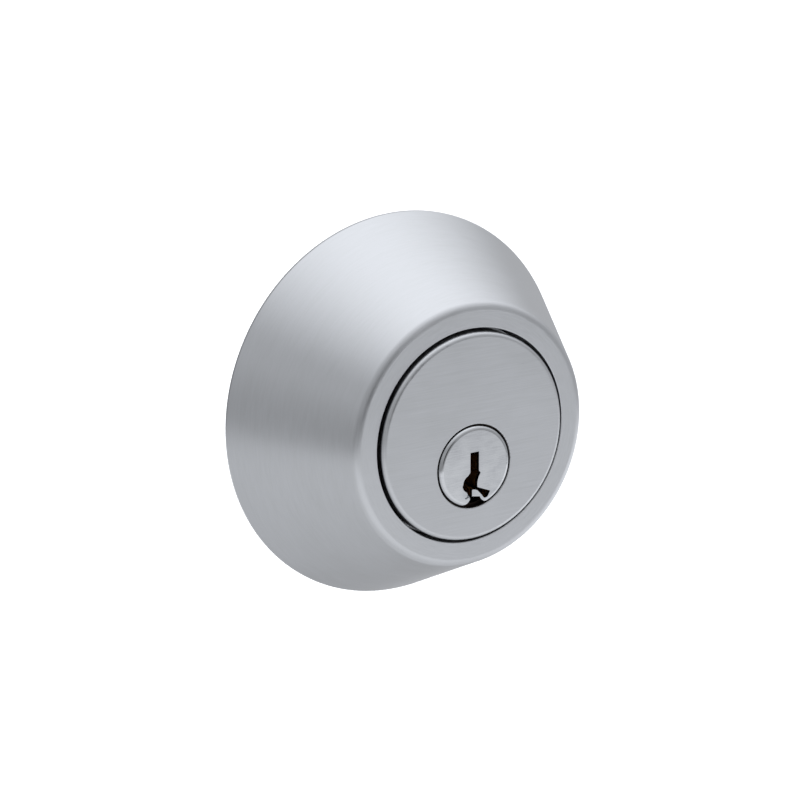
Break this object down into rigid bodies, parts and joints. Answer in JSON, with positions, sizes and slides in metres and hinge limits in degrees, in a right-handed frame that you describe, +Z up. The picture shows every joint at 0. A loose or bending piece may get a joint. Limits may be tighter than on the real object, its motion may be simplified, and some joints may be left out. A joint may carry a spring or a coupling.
{
  "type": "deadbolt cylinder unit",
  "caption": "Outside half of a keyed deadbolt: tapered spinning collar round a pin-tumbler cylinder whose tailpiece turns the bolt.",
  "frame": {"origin": "centre of the collar's back plane, which lies on the outside face of the door; the through-bolt holes are centred on it", "axes": "-Y points out of the door towards the key, +Y into the door along the tailpiece, +Z up with the keyway below the centre, X across the through-bolts"},
  "size_m": [0.064, 0.061, 0.064],
  "materials": {
    "satin_chrome": "satin chrome on drawn brass, turned brush lines",
    "satin_chrome_zinc": "satin chrome on a zinc casting, fine straight brush lines on the face",
    "chromed_brass": "bright chrome face, bare brass inside the keyway and behind the head",
    "hardened_steel": "hardened and oiled, dark grey",
    "spring_steel": "bright drawn spring steel",
    "zinc_plated_steel": "zinc plated",
    "brass_strip": "rolled brass",
    "pin_brass": "turned brass",
    "pin_nickel_silver": "turned nickel silver"
  },
  "bodies": {
    "cylinder": {"cylinder_housing": "satin_chrome_zinc", "chamber_cover": "brass_strip", "housing_drill_pins": "hardened_steel", "wave_spring": "spring_steel", "pin_spring_1": "spring_steel", "pin_spring_2": "spring_steel", "pin_spring_3": "spring_steel", "pin_spring_4": "spring_steel", "pin_spring_5": "spring_steel"},
    "collar": {"outer_collar": "satin_chrome", "guard_ring": "hardened_steel"},
    "plug": {"key_plug": "chromed_brass", "plug_drill_pin": "hardened_steel", "tail_retainer": "zinc_plated_steel", "retainer_screws": "zinc_plated_steel"},
    "tail": {"tailpiece": "zinc_plated_steel"},
    "key_pin_1": {"key_pin_1": "pin_brass"},
    "driver_pin_1": {"driver_pin_1": "pin_nickel_silver"},
    "key_pin_2": {"key_pin_2": "pin_brass"},
    "driver_pin_2": {"driver_pin_2": "pin_nickel_silver"},
    "key_pin_3": {"key_pin_3": "pin_brass"},
    "driver_pin_3": {"driver_pin_3": "pin_nickel_silver"},
    "key_pin_4": {"key_pin_4": "pin_brass"},
    "driver_pin_4": {"driver_pin_4": "pin_nickel_silver"},
    "key_pin_5": {"key_pin_5": "pin_brass"},
    "driver_pin_5": {"driver_pin_5": "pin_nickel_silver"}
  },
  "joints": [
    {"name": "collar_spin", "type": "hinge", "parent": "cylinder", "child": "collar", "pos_m": [0, 0, 0], "axis": [0, 1, 0], "continuous": true},
    {"name": "key_turn", "type": "hinge", "parent": "cylinder", "child": "plug", "pos_m": [0, 0, -0.00475], "axis": [0, 1, 0], "range_deg": [-90, 90]},
    {"name": "tail_free_turn", "type": "hinge", "parent": "plug", "child": "tail", "pos_m": [0, 0, -0.00475], "axis": [0, 1, 0], "range_deg": [0, 90]},
    {"name": "key_pin_1_drop", "type": "slide", "parent": "plug", "child": "key_pin_1", "axis": [0, 0, 1], "range_m": [-0.00302, 0]},
    {"name": "driver_pin_1_lift", "type": "slide", "parent": "cylinder", "child": "driver_pin_1", "axis": [0, 0, 1], "range_m": [0, 0.003], "stiffness_N_per_m": 90, "springref_m": -0.004, "deforming": ["pin_spring_1"]},
    {"name": "key_pin_2_drop", "type": "slide", "parent": "plug", "child": "key_pin_2", "axis": [0, 0, 1], "range_m": [-0.00182, 0]},
    {"name": "driver_pin_2_lift", "type": "slide", "parent": "cylinder", "child": "driver_pin_2", "axis": [0, 0, 1], "range_m": [0, 0.003], "stiffness_N_per_m": 90, "springref_m": -0.004, "deforming": ["pin_spring_2"]},
    {"name": "key_pin_3_drop", "type": "slide", "parent": "plug", "child": "key_pin_3", "axis": [0, 0, 1], "range_m": [-0.00352, 0]},
    {"name": "driver_pin_3_lift", "type": "slide", "parent": "cylinder", "child": "driver_pin_3", "axis": [0, 0, 1], "range_m": [0, 0.003], "stiffness_N_per_m": 90, "springref_m": -0.004, "deforming": ["pin_spring_3"]},
    {"name": "key_pin_4_drop", "type": "slide", "parent": "plug", "child": "key_pin_4", "axis": [0, 0, 1], "range_m": [-0.00242, 0]},
    {"name": "driver_pin_4_lift", "type": "slide", "parent": "cylinder", "child": "driver_pin_4", "axis": [0, 0, 1], "range_m": [0, 0.003], "stiffness_N_per_m": 90, "springref_m": -0.004, "deforming": ["pin_spring_4"]},
    {"name": "key_pin_5_drop", "type": "slide", "parent": "plug", "child": "key_pin_5", "axis": [0, 0, 1], "range_m": [-0.00322, 0]},
    {"name": "driver_pin_5_lift", "type": "slide", "parent": "cylinder", "child": "driver_pin_5", "axis": [0, 0, 1], "range_m": [0, 0.003], "stiffness_N_per_m": 90, "springref_m": -0.004, "deforming": ["pin_spring_5"]}
  ]
}
